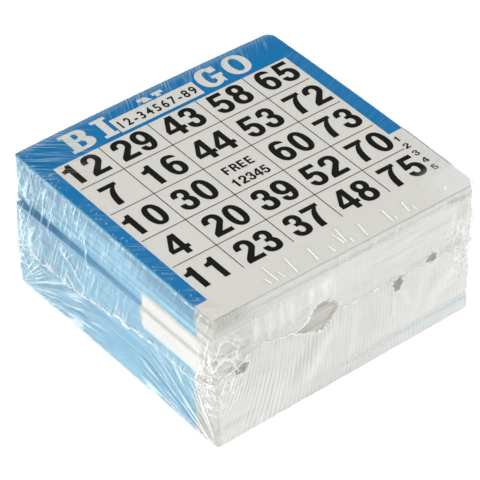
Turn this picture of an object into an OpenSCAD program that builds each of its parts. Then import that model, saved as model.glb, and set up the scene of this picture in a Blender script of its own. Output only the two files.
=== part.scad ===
// Shrink-wrapped pack of square paper bingo cards.
// Millimetres, +Z up. The pack stands on Z = 0 and the header edge of the top card faces +Y.
// The origin lies on the base, under the middle of the top card.

/* [Card] */
// width of a card, along X
card_w = 101.6; // [60:0.1:200]
// depth of a card, along Y
card_d = 101.6; // [60:0.1:200]
// thickness of the paper
card_t = 0.094; // [0.06:0.002:0.3]
// air between one card and the next
card_gap = 0.006; // [0.004:0.001:0.05]

/* [Stack] */
// cards in each of the twenty lifts
lift_cards = 25; // [10:1:40]
// lifts above the step in the stack
step_lifts = 7; // [4:1:14]
// how far the lifts below the step stand out to the left
step_left = 1.5; // [0.5:0.1:4]
// how far the lifts below the step stand out to the front
step_front = 1.0; // [0.5:0.1:4]
// turn of the lifts below the step, in degrees
step_turn = 0.9; // [0:0.1:2]
// most that a lift sits off its place, to each side
lift_jog = 0.25; // [0:0.05:0.6]
// most that a card sits off its lift, to each side
card_jog = 0.12; // [0:0.02:0.4]
// seed of the jogging
jog_seed = 41; // [1:1:999]

/* [Film] */
// thickness of the shrunk film
film_t = 0.04; // [0.02:0.01:0.12]
// room between the film and the farthest jogged card
film_ease = 0.1; // [0.05:0.05:0.5]
// height over which the film bridges the step, above and below it
film_bridge = 2.2; // [1:0.1:3.5]

/* [Seal] */
// width of the welded bead
bead_w = 0.8; // [0.4:0.1:2]
// how far the bead stands out of the film
bead_t = 0.3; // [0.1:0.05:1]
// height of the seal at the back left corner, as a share of the pack
seal_back_left = 0.33; // [0.2:0.01:0.8]
// height of the seal where the left side meets the gather
seal_left = 0.42; // [0.2:0.01:0.8]
// height of the seal in the gather at the front left corner
seal_corner = 0.52; // [0.2:0.01:0.8]
// height of the seal where the gather meets the front
seal_front = 0.66; // [0.2:0.01:0.8]
// height of the seal on the middle of the front
seal_middle = 0.60; // [0.2:0.01:0.8]
// height of the seal at the front right corner
seal_right = 0.56; // [0.2:0.01:0.8]
// height of the fold at the back right corner
seal_back_right = 0.44; // [0.2:0.01:0.8]
// width of the long tear in the seal
tear_w = 12.5; // [4:0.5:30]
// height of the long tear in the seal
tear_h = 3.6; // [1:0.1:8]

/* [Hidden] */
lifts = 20;
cards = lifts * lift_cards;
pitch = card_t + card_gap;
stack_h = cards * pitch - card_gap;
pack_h = stack_h + 2 * film_t;
step_z = film_t + (lifts - step_lifts) * lift_cards * pitch - card_gap / 2;
// room between a card in its place and the film, and a corner radius that clears the card's corner
slack = lift_jog + card_jog + film_ease;
film_r = 2.2 * slack;
// thickness of the slices that the film is blended between
slice = 0.01;
// how far the seal's cutting surface reaches, in half widths, and how far it goes below the base
seal_reach = 1.5;
seal_foot = 10;
// how far inside the front of a card the tears' cutters start
tear_inside = 2;
card_x = rands(-card_jog, card_jog, cards, jog_seed);
card_y = rands(-card_jog, card_jog, cards, jog_seed + 1);
lift_x = rands(-lift_jog, lift_jog, lifts, jog_seed + 2);
lift_y = rands(-lift_jog, lift_jog, lifts, jog_seed + 3);
upper_place = [0, 0, 0];
lower_place = [-step_left, -step_front, step_turn];
// seal path around the pack: share of the half width, share of the half depth, share of the height
seal_path = [
  [-1, 1, seal_back_left],
  [-1, -0.66, seal_left],
  [-1, -1, seal_corner],
  [-0.7, -1, seal_front],
  [-0.4, -1, seal_middle],
  [1, -1, seal_right],
  [1, 1, seal_back_right]
];
// tears in the seal along the front: share of the half width, share of the height, width, height
tears = [
  [-0.18, 0.60, tear_w, tear_h],
  [0.42, 0.52, tear_w * 0.36, tear_h * 1.1],
  [0.68, 0.585, tear_w * 0.4, tear_h * 0.65],
  [-0.79, 0.53, tear_w * 0.32, tear_h * 0.8]
];
paper = [0.93, 0.92, 0.89];
film = [0.82, 0.9, 0.96, 0.35];
bead = [0.92, 0.95, 0.98, 0.6];
$fn = 24;

// place of a lift, counted from 0 at the top: x, y and turn
function place_of(lift) = lift < step_lifts ? upper_place : lower_place;

// one card, counted from 0 at the top, which lies unjogged
module card(n) {
  lift = floor(n / lift_cards);
  place = place_of(lift);
  loose = n == 0 ? 0 : 1;
  translate([place[0], place[1], film_t + stack_h - card_t - n * pitch])
    rotate(place[2])
      translate([loose * (lift_x[lift] + card_x[n]), loose * (lift_y[lift] + card_y[n]), 0])
        translate([-card_w / 2, -card_d / 2, 0])
          cube([card_w, card_d, card_t]);
}

// cards from first to last
module run_of_cards(first, last) {
  color(paper)
    for (n = [first : last])
      card(n);
}

// cards of one lift, counted from 1 at the top, less the top card and the bottom card
module lift_of_cards(number) {
  first = (number - 1) * lift_cards;
  run_of_cards(max(first, 1), min(first + lift_cards, cards - 1) - 1);
}

// four posts at the corners of the film, from z up, for a hull
module corner_posts(place, grow, z, h) {
  x = card_w / 2 + slack - film_r;
  y = card_d / 2 + slack - film_r;
  translate([place[0], place[1], z])
    rotate(place[2])
      for (sx = [-1, 1], sy = [-1, 1])
        translate([sx * x, sy * y, 0])
          cylinder(r = film_r + grow, h = h);
}

// the space inside the film, grown on all sides
module film_body(grow) {
  low = film_t - grow;
  high = film_t + stack_h + grow;
  bridge_low = step_z - film_bridge;
  bridge_high = step_z + film_bridge;
  hull()
    corner_posts(lower_place, grow, low, bridge_low - low);
  hull() {
    corner_posts(lower_place, grow, bridge_low - slice, slice);
    corner_posts(lower_place, grow, step_z, slice);
    corner_posts(upper_place, grow, step_z, slice);
  }
  hull() {
    corner_posts(lower_place, grow, step_z, slice);
    corner_posts(upper_place, grow, step_z, slice);
    corner_posts(upper_place, grow, bridge_high, slice);
  }
  hull()
    corner_posts(upper_place, grow, bridge_high, high - bridge_high);
}

// everything below the seal, which is raised by a given height
module below_seal(raise) {
  middle = pack_h / 2;
  count = len(seal_path);
  ring = [
    for (p = seal_path)
      [seal_reach * p[0] * card_w / 2, seal_reach * p[1] * card_d / 2,
       raise + middle + seal_reach * (p[2] * pack_h - middle)]
  ];
  foot = [for (p = ring) [p[0], p[1], -seal_foot]];
  points = concat(ring, foot, [[0, 0, middle + raise], [0, 0, -seal_foot]]);
  tops = [for (i = [0 : count - 1]) [(i + 1) % count, i, 2 * count]];
  bases = [for (i = [0 : count - 1]) [count + i, count + (i + 1) % count, 2 * count + 1]];
  walls = [for (i = [0 : count - 1]) [i, (i + 1) % count, count + (i + 1) % count, count + i]];
  polyhedron(points = points, faces = concat(tops, bases, walls));
}

// the film as a closed skin, with its tears
module film_skin() {
  difference() {
    film_body(film_t);
    film_body(0);
    for (t = tears)
      tear(t);
  }
}

// cutter for one tear through the front of the film, a slanted four-sided hole
module tear(t) {
  translate([t[0] * card_w / 2, tear_inside - card_d / 2, t[1] * pack_h])
    rotate([90, 0, 0])
      linear_extrude(height = 3 * tear_inside + step_front + slack)
        tear_outline(t[2], t[3]);
}

// outline of a tear of a given width and height
module tear_outline(w, h) {
  polygon([[-w / 2, -h / 5], [-w / 8, -h / 2], [w / 2, h / 6], [w / 6, h / 2]]);
}

module top_card() {
  run_of_cards(0, 0);
}

module bottom_card() {
  run_of_cards(cards - 1, cards - 1);
}

module upper_film() {
  color(film)
    difference() {
      film_skin();
      below_seal(0);
    }
}

module lower_film() {
  color(film)
    intersection() {
      film_skin();
      below_seal(0);
    }
}

// bead on the outside of the film along three sides, with the fold of the film at the back
module seal_bead() {
  color(bead)
    difference() {
      intersection() {
        film_body(film_t + bead_t);
        below_seal(bead_w / 2);
      }
      film_body(film_t);
      below_seal(-bead_w / 2);
      for (t = tears)
        tear(t);
      translate([-card_w, card_d / 2 - step_front - film_r, -1])
        cube([2 * card_w, card_d, pack_h + 2]);
    }
}

top_card();
lift_of_cards(1);  // lift_01
lift_of_cards(2);  // lift_02
lift_of_cards(3);  // lift_03
lift_of_cards(4);  // lift_04
lift_of_cards(5);  // lift_05
lift_of_cards(6);  // lift_06
lift_of_cards(7);  // lift_07
lift_of_cards(8);  // lift_08
lift_of_cards(9);  // lift_09
lift_of_cards(10);  // lift_10
lift_of_cards(11);  // lift_11
lift_of_cards(12);  // lift_12
lift_of_cards(13);  // lift_13
lift_of_cards(14);  // lift_14
lift_of_cards(15);  // lift_15
lift_of_cards(16);  // lift_16
lift_of_cards(17);  // lift_17
lift_of_cards(18);  // lift_18
lift_of_cards(19);  // lift_19
lift_of_cards(20);  // lift_20
bottom_card();
upper_film();
lower_film();
seal_bead();
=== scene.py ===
"""Looks of a shrink-wrapped pack of paper bingo cards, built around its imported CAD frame."""

import math
from collections import namedtuple
from functools import partial

import bmesh
import bpy
from mathutils import Matrix, Vector, noise


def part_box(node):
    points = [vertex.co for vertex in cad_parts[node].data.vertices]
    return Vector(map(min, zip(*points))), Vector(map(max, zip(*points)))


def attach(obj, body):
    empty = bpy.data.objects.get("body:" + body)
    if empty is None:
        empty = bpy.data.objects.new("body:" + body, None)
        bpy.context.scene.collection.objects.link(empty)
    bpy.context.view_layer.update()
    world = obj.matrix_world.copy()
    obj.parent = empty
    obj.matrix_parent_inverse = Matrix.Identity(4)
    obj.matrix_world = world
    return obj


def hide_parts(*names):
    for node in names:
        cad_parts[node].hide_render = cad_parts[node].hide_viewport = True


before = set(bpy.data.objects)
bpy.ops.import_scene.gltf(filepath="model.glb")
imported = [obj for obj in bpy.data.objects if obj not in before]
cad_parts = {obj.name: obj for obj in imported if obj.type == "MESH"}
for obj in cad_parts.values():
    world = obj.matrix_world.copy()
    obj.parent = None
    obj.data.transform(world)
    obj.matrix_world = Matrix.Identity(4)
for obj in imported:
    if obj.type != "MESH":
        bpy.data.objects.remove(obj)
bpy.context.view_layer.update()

# Sizes. All lengths below are millimetres unless they come from the frame, which is in metres.
MM = 0.001
card_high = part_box("top_card")[1]
CARD_HALF_X = card_high.x / MM
CARD_HALF_Y = card_high.y / MM
CARD_TOP = card_high.z / MM
STEP_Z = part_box("lift_08")[1].z / MM
film_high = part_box("upper_film")[1]
FILM_HALF_X = film_high.x / MM
FILM_HALF_Y = film_high.y / MM
# Where the lifts below the step lie: shifted to the left and the front, and turned
STEP_SHIFT = Vector((-1.5, -1.0))
STEP_TURN = math.radians(0.9)
LIFTS = 20
LIFT_H = 2.5
# Lifts whose cards lie the other way round, with the border's short side on the left, and the lift that has
# ink at its front edge, both counted from the top
SHORT_EDGE_LIFTS = range(6, 11)
TINTED_LIFT = 19

# The printed face: edges of the blue border, the grid's lines and the sizes of the type
BORDER_LEFT = -46.4
BORDER_RIGHT = 46.6
HEADER_EDGE = 36.8
LEFT_BORDER_END = -42.4
RIGHT_BORDER_END = -15.6
COLUMN_W = 19.13
COLUMN_LINES = [-28.9, -9.75, 9.4, 28.5]
ROW_LINES = [23.1, 7.4, -8.7, -24.2]
ROW_PITCH = 15.75
FIRST_BASELINE = 25.4
GRID_LEFT = -45.6
GRID_RIGHT = 45.6
GRID_FOOT = -37.8
GRID_LINE_W = 0.3
NUMBER_H = 10.5
NUMBERS = [
    ["12", "29", "43", "58", "65"],
    ["7", "16", "44", "53", "72"],
    ["10", "30", "", "60", "73"],
    ["4", "20", "39", "52", "70"],
    ["11", "23", "37", "48", "75"],
]
INK_STEP = 0.02
# The column heads, each with its middle and how wide it is drawn, and the panel in the header
HEADS = [("B", -31.7, 1.34), ("I", -21.3, 1.15), ("N", -0.5, 1.15), ("G", 20.2, 1.15), ("O", 31.7, 1.15)]
HEAD_BASELINE = 38.7
HEAD_H = 10.2
PANEL_FRAME = (-18.9, 37.7, 15.1, 46.3)
PANEL = (-18.4, 38.2, 14.6, 45.7)

# Axes of a place, sides of a limit and half the usual width of a soft edge, for the masks in the materials
X, Y, Z = 0, 1, 2
BELOW, ABOVE = -1, 1
SOFT_EDGE = 0.4
# How far out the cut sides start, and the middle and half sizes of the shade in the tear
CUT_SIDE = 48.5
TEAR_X, TEAR_Z = -11.5, 30.8
TEAR_SHADE_W, TEAR_SHADE_H = 10, 6
# What the film's mesh carries for its material, and the distance off a crease that stands for none near
LOOKS = ("milk", "streak", "comb", "crease", "dim")
NO_CREASE = 9.0

# The film: the width of its cells, the rings of cells down a wall and round the edge above it
FILM_CELL = 0.5
WALL_RINGS = 60
ROLL_RINGS = 3
# How far it stands off the top card, and the height over which it bridges the step, here and on the front
FILM_LIFT = 0.12
BRIDGE = 2.4
FRONT_BRIDGE = 9.0
# The radii of its upright corners and of its level edges, and the distance between points of the seal's cord
CORNER_R = 1.0
EDGE_R = 0.5
CORD_STEP = 0.6


def srgb(code):
    """Linear colour of an sRGB hex value such as "2876a9"."""
    channels = [int(code[i : i + 2], 16) / 255 for i in (0, 2, 4)]
    return [c / 12.92 if c <= 0.04045 else ((c + 0.055) / 1.055) ** 2.4 for c in channels] + [1.0]


def add_node(tree, kind, inputs=(), operation=None, **settings):
    """Adds a node with its settings. Its inputs are numbers, colours, or nodes and outputs to link, in the
    order of its sockets or by their names."""
    node = tree.nodes.new("ShaderNode" + kind)
    if operation:
        node.operation = operation
    for name, value in settings.items():
        setattr(node, name, value)
    if isinstance(inputs, dict):
        pairs = [(node.inputs[name], value) for name, value in inputs.items()]
    else:
        pairs = zip([socket for socket in node.inputs if socket.enabled], inputs)
    for socket, value in pairs:
        if isinstance(value, bpy.types.Node):
            value = next(output for output in value.outputs if output.enabled)
        if isinstance(value, bpy.types.NodeSocket):
            tree.links.new(value, socket)
        else:
            socket.default_value = value
    return node


def new_material(name):
    """An empty node material, with add_node for its tree."""
    material = bpy.data.materials.new(name)
    material.use_nodes = True
    material.node_tree.nodes.clear()
    return material, partial(add_node, material.node_tree)


def place_object(name, data):
    """A new object in the scene."""
    thing = bpy.data.objects.new(name, data)
    bpy.context.scene.collection.objects.link(thing)
    return thing


def set_material(mesh, material):
    """Gives a mesh its only material."""
    mesh.materials.clear()
    mesh.materials.append(material)


def finish_mesh(name, bm):
    """The mesh of a bmesh, which is freed."""
    mesh = bpy.data.meshes.new(name)
    bm.to_mesh(mesh)
    bm.free()
    return mesh


def finish_piece(name, mesh, material, replaced=()):
    """Makes a piece of a mesh in metres, on the pack's one body."""
    piece = place_object(name, mesh)
    set_material(mesh, material)
    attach(piece, "root")
    if replaced:
        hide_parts(*replaced)
    return piece


# Materials


def sheet_lines(add, place, along, across):
    """Noise drawn out level along the cut sides, by the length and the spacing of its lines in mm."""
    size = (1 / along / MM, 1 / along / MM, 1 / across / MM)
    stretched = add("Mapping", {"Vector": place, "Scale": size})
    return add("TexNoise", {"Vector": stretched, "Scale": 1.0, "Detail": 3.0, "Roughness": 0.65})


def zone(add, axes, *limits):
    """A soft-edged mask of a part of the pack. Each limit is an axis, the side of it that is in the mask,
    its place in mm and, where it isn't the usual, half the width of its soft edge."""
    mask = None
    for axis, side, limit, *soft in limits:
        half = side * (soft[0] if soft else SOFT_EDGE)
        edge = add("MapRange", [axes[axis], (limit - half) * MM, (limit + half) * MM])
        mask = edge if mask is None else add("Math", [mask, edge], "MULTIPLY")
    return mask


def ink_on_cut(add, axes, left_end, right_end, front_tint):
    """Where the ink of the border, and of a tinted front, shows on the cut sides."""
    ink = zone(add, axes, (X, BELOW, -CUT_SIDE), (Y, ABOVE, left_end))
    on_right = zone(add, axes, (X, ABOVE, CUT_SIDE), (Y, ABOVE, right_end))
    head = zone(add, axes, (Y, ABOVE, CUT_SIDE))
    tint = zone(add, axes, (Y, BELOW, -CUT_SIDE), (X, ABOVE, 20, 30))
    tint = add("Math", [tint, front_tint], "MULTIPLY")
    for part in (on_right, head, tint):
        ink = add("Math", [ink, part], "MAXIMUM")
    return ink


def painted_gap_shade(add, axes, lines, ink):
    """Painted shade in the gaps between lifts, which comes and goes, and a painted shadow line under the
    step.
    """
    lift_edge = add("Math", [axes[Z], 1 / LIFT_H / MM, -STEP_Z / LIFT_H], "MULTIPLY_ADD")
    lift_edge = add("Math", [lift_edge, 0.5], "PINGPONG")
    gap = add("MapRange", [lift_edge, 0.01, 0.07, 1.0, 0.0])
    open_gap = add("MapRange", [lines, 0.42, 0.6, 0.0, 0.75])
    on_bare = add("Math", [ink, -0.8, 1.2], "MULTIPLY_ADD")
    for share in (open_gap, on_bare):
        gap = add("Math", [gap, share], "MULTIPLY")
    at_step = zone(add, axes, (Z, ABOVE, STEP_Z - 0.3, 0.05), (Z, BELOW, STEP_Z + 0.5, 0.05))
    on_left = zone(add, axes, (X, BELOW, -CUT_SIDE))
    step_shade = add("Math", [on_left, 0.65, 0.3], "MULTIPLY_ADD")
    at_step = add("Math", [at_step, step_shade], "MULTIPLY")
    return add("Math", [gap, at_step], "MAXIMUM")


def tear_shade(add, place, axes):
    """The film's shade on the paper in the tear."""
    middle = (-TEAR_X / TEAR_SHADE_W, 0, -TEAR_Z / TEAR_SHADE_H)
    size = (1 / TEAR_SHADE_W / MM, 0, 1 / TEAR_SHADE_H / MM)
    to_tear = add("Mapping", {"Vector": place, "Location": middle, "Scale": size})
    to_tear = add("VectorMath", [to_tear], "LENGTH")
    in_tear = add("MapRange", [to_tear, 1.1, 0.7, 0.0, 0.2])
    return add("Math", [in_tear, zone(add, axes, (Y, BELOW, -CUT_SIDE))], "MULTIPLY")


def cut_paper(name, left_end, right_end, front_tint=0.0):
    """Uncoated offset paper, guillotined in a stack: matt, pale, with fine level lines of single sheets on
    the cut sides. The blue border runs off the card, so its ink shows as a paler blue on the cut. Single
    sheets are 0.1 mm thick, too fine to show, so the lines are drawn 0.5 mm apart."""
    material, add = new_material(name)
    place = add("TexCoord").outputs["Object"]
    axes = add("SeparateXYZ", [place]).outputs
    normal = add("SeparateXYZ", [add("NewGeometry").outputs["Normal"]]).outputs
    fine = sheet_lines(add, place, 30, 0.5)
    coarse = sheet_lines(add, place, 60, 1.7)
    lines = add("Math", [coarse, 0.4], "MULTIPLY")
    lines = add("Math", [fine, 0.6, lines], "MULTIPLY_ADD")
    contrast = add("MapRange", [lines, 0.40, 0.58])
    bare = add("Mix", [contrast, srgb("bcbab5"), srgb("d2d1cc")], data_type="RGBA")
    inked = add("Mix", [contrast, srgb("4fa6c6"), srgb("90d2e3")], data_type="RGBA")
    ink = ink_on_cut(add, axes, left_end, right_end, front_tint)
    side = add("Mix", [ink, bare, inked], data_type="RGBA")

    # Painted shade: dark gaps between lifts, a dark line under the step, and shade under the top edge
    painted_shade_colour = add("Mix", [ink, srgb("7d7c79"), srgb("2f7fae")], data_type="RGBA")
    crest = add("Math", [ink, 0.25, 0.12], "MULTIPLY_ADD")
    crest = add("Math", [zone(add, axes, (Z, ABOVE, CARD_TOP - 4, 0.8)), crest], "MULTIPLY")
    for share in (painted_gap_shade(add, axes, coarse, ink), crest):
        side = add("Mix", [share, side, painted_shade_colour], data_type="RGBA")
    # Painted shade on the paper in the tear
    side = add("Mix", [tear_shade(add, place, axes), side, srgb("7d7c79")], data_type="RGBA")

    # Faces that look up show the print
    face_up = add("MapRange", [normal[Z], 0.6, 0.8])
    ledge = zone(add, axes, (Y, ABOVE, 24, 8))
    ledge = add("Mix", [ledge, srgb("74b2d5"), srgb("2876a9")], data_type="RGBA")
    face = add("Mix", [ink, srgb("e4e2dc"), ledge], data_type="RGBA")
    colour = add("Mix", [face_up, side, face], data_type="RGBA")
    bump = add("Bump", {"Strength": 0.35, "Distance": 0.2 * MM, "Height": lines})
    look = {"Base Color": colour, "Roughness": 0.85, "IOR": 1.5, "Normal": bump}
    add("OutputMaterial", [add("BsdfPrincipled", look)])
    return material


def printed_surface(name, pale, dark, grain, roughness):
    """Paper or ink on paper: a fine mottle of two close colours, with the tooth of the sheet as bump."""
    material, add = new_material(name)
    place = add("TexCoord").outputs["Object"]
    mottle = add("TexNoise", {"Vector": place, "Scale": 1 / grain / MM, "Detail": 4.0, "Roughness": 0.7})
    contrast = add("MapRange", [mottle, 0.3, 0.7])
    colour = add("Mix", [contrast, srgb(dark), srgb(pale)], data_type="RGBA")
    bump = add("Bump", {"Strength": 0.15, "Distance": 0.05 * MM, "Height": mottle})
    look = {"Base Color": colour, "Roughness": roughness, "IOR": 1.5, "Normal": bump}
    look["Specular IOR Level"] = 0.15
    add("OutputMaterial", [add("BsdfPrincipled", look)])
    return material


def film_over_ink(add, axes):
    """Where the film lies over the border's ink, less the bare ends of cards that lie the other way round."""
    over_ink = zone(add, axes, (X, BELOW, BORDER_LEFT + 0.1), (Y, ABOVE, LEFT_BORDER_END))
    lifts = (SHORT_EDGE_LIFTS[-1], SHORT_EDGE_LIFTS[0] - 1)
    low, high = [CARD_TOP - LIFT_H * count for count in lifts]
    bare_end = zone(add, axes, (Z, ABOVE, low), (Z, BELOW, high), (Y, BELOW, RIGHT_BORDER_END))
    over_ink = add("Math", [over_ink, bare_end], "SUBTRACT")
    over_right = zone(add, axes, (X, ABOVE, BORDER_RIGHT - 0.1), (Y, ABOVE, RIGHT_BORDER_END))
    for part in (over_right, zone(add, axes, (Y, ABOVE, HEADER_EDGE))):
        over_ink = add("Math", [over_ink, part], "MAXIMUM")
    return over_ink


def shrink_film(name):
    """Clear polyolefin shrink film: it shows what is under it and mirrors what is around it. It is milky
    where it has shrunk into folds, a white that is partly stress whitening and partly painted highlight, and
    a dark diffuse mixed in is painted shade that dims the paper where a fold turns the light away."""
    material, add = new_material(name)
    place = add("TexCoord").outputs["Object"]
    axes = add("SeparateXYZ", [place]).outputs
    looks = [add("Attribute", attribute_name=key).outputs["Fac"] for key in LOOKS]
    milky, streaky, comb, creased, dim = looks
    run = add("Attribute", attribute_name="run").outputs["Vector"]
    on_run = add("SeparateXYZ", [run]).outputs

    # Loose streaks, drawn as painted highlights and painted shade, and the crinkle of 1.2 mm that all of the
    # film has
    streak_noise = {"Vector": run, "Scale": 1.0, "Detail": 2.0, "Roughness": 0.6}
    lines = add("TexNoise", streak_noise, noise_dimensions="2D")
    pale = add("MapRange", [lines, 0.52, 0.68])
    dark = add("MapRange", [lines, 0.48, 0.32])
    crinkle = add("TexNoise", {"Vector": place, "Scale": 1 / 1.2 / MM, "Detail": 3.0, "Roughness": 0.6})
    relief = add("Math", [streaky, 2.0], "MULTIPLY")
    relief = add("Math", [lines, relief, crinkle], "MULTIPLY_ADD")
    bump = add("Bump", {"Strength": 0.25, "Distance": 0.15 * MM, "Height": relief})

    # Single creases, drawn as painted highlights that waver about their lines
    waver = add("Math", [crinkle, 0.5], "SUBTRACT")
    waver = add("Math", [waver, 1.2, on_run[2]], "MULTIPLY_ADD")
    crease = add("MapRange", [add("Math", [waver], "ABSOLUTE"), 1.0, 0.5])
    for share in (creased, 1.5):
        crease = add("Math", [crease, share], "MULTIPLY")

    # The comb of even folds, 2.5 streak widths from one to the next, each with a painted highlight and
    # painted shade
    phase = add("Math", [lines, 2.5, on_run[0]], "MULTIPLY_ADD")
    tooth = add("Math", [phase, math.pi / 1.25], "MULTIPLY")
    tooth = add("Math", [tooth], "SINE")
    teeth = add("Math", [comb, tooth], "MULTIPLY")

    # How much painted shade dims the paper, and how much milky white, partly painted highlight, veils it
    shade = add("Math", [streaky, dark], "MULTIPLY")
    shade = add("Math", [shade, 0.75, dim], "MULTIPLY_ADD")
    shade = add("Math", [teeth, -0.5, shade], "MULTIPLY_ADD")
    haze = add("Math", [streaky, pale], "MULTIPLY")
    for share in (milky, crease, teeth):
        haze = add("Math", [haze, share], "ADD")
    shade, haze = [add("Math", pair, "MULTIPLY") for pair in ((shade, 0.6), (haze, 0.55))]
    shade, haze = [add("Math", [value, 0.0], "MAXIMUM") for value in (shade, haze)]

    # Over ink both are blue
    over_ink = film_over_ink(add, axes)
    dim_tint = add("Mix", [over_ink, srgb("706d5c"), srgb("1f7a9f")], data_type="RGBA")
    pale_tint = add("Mix", [over_ink, srgb("f7f8f6"), srgb("d6f1fa")], data_type="RGBA")
    shadow, milk = [add("BsdfDiffuse", {"Color": tint, "Normal": bump}) for tint in (dim_tint, pale_tint)]
    dimmed = add("MixShader", [shade, add("BsdfTransparent"), shadow])
    sheet = add("MixShader", [haze, dimmed, milk])

    # Both faces of the film mirror, more so at a slant
    gloss = add("BsdfGlossy", {"Color": srgb("ffffff"), "Roughness": 0.08, "Normal": bump})
    slant = add("LayerWeight", [0.5, bump]).outputs["Facing"]
    mirror = add("Math", [slant, 5.0], "POWER")
    mirror = add("Math", [mirror, 1.25, 0.09], "MULTIPLY_ADD")
    add("OutputMaterial", [add("MixShader", [mirror, sheet, gloss])])
    return material


def welded_film(name):
    """Film melted together at the seal: a milky, glossy cord that lets a little of the paper through."""
    material, add = new_material(name)
    place = add("TexCoord").outputs["Object"]
    lumps = add("TexNoise", {"Vector": place, "Scale": 1 / 1.5 / MM, "Detail": 2.0})
    body = add("MapRange", [lumps, 0.35, 0.65, 0.45, 0.75])
    bump = add("Bump", {"Strength": 0.3, "Distance": 0.1 * MM, "Height": lumps})
    look = {"Base Color": srgb("f4f6f6"), "Roughness": 0.22, "IOR": 1.5, "Normal": bump}
    milk = add("BsdfPrincipled", look)
    surface = add("MixShader", [body, add("BsdfTransparent"), milk])
    add("OutputMaterial", [surface])
    return material


# Type: outlines of bold upright figures and letters on a body

BODY_W, BODY_H = 72, 100
SQUARENESS = 2.25
ARC_STEP = 12


def arc(cx, cy, rx, ry, start, end):
    """Points along a slightly squared ellipse, from one angle to another in degrees."""
    count = max(2, int(abs(end - start) / ARC_STEP))
    points = []
    for i in range(count + 1):
        angle = math.radians(start + (end - start) * i / count)
        c, s = math.cos(angle), math.sin(angle)
        x = math.copysign(abs(c) ** (2 / SQUARENESS), c)
        y = math.copysign(abs(s) ** (2 / SQUARENESS), s)
        points.append((cx + rx * x, cy + ry * y))
    return points


def ring(cx, cy, rx, ry):
    """A closed oval."""
    return arc(cx, cy, rx, ry, 0, 360)[:-1]


def turned(contours):
    """The same outlines turned half a turn about the middle of the body."""
    return [[(BODY_W - x, BODY_H - y) for x, y in contour] for contour in contours]


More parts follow.
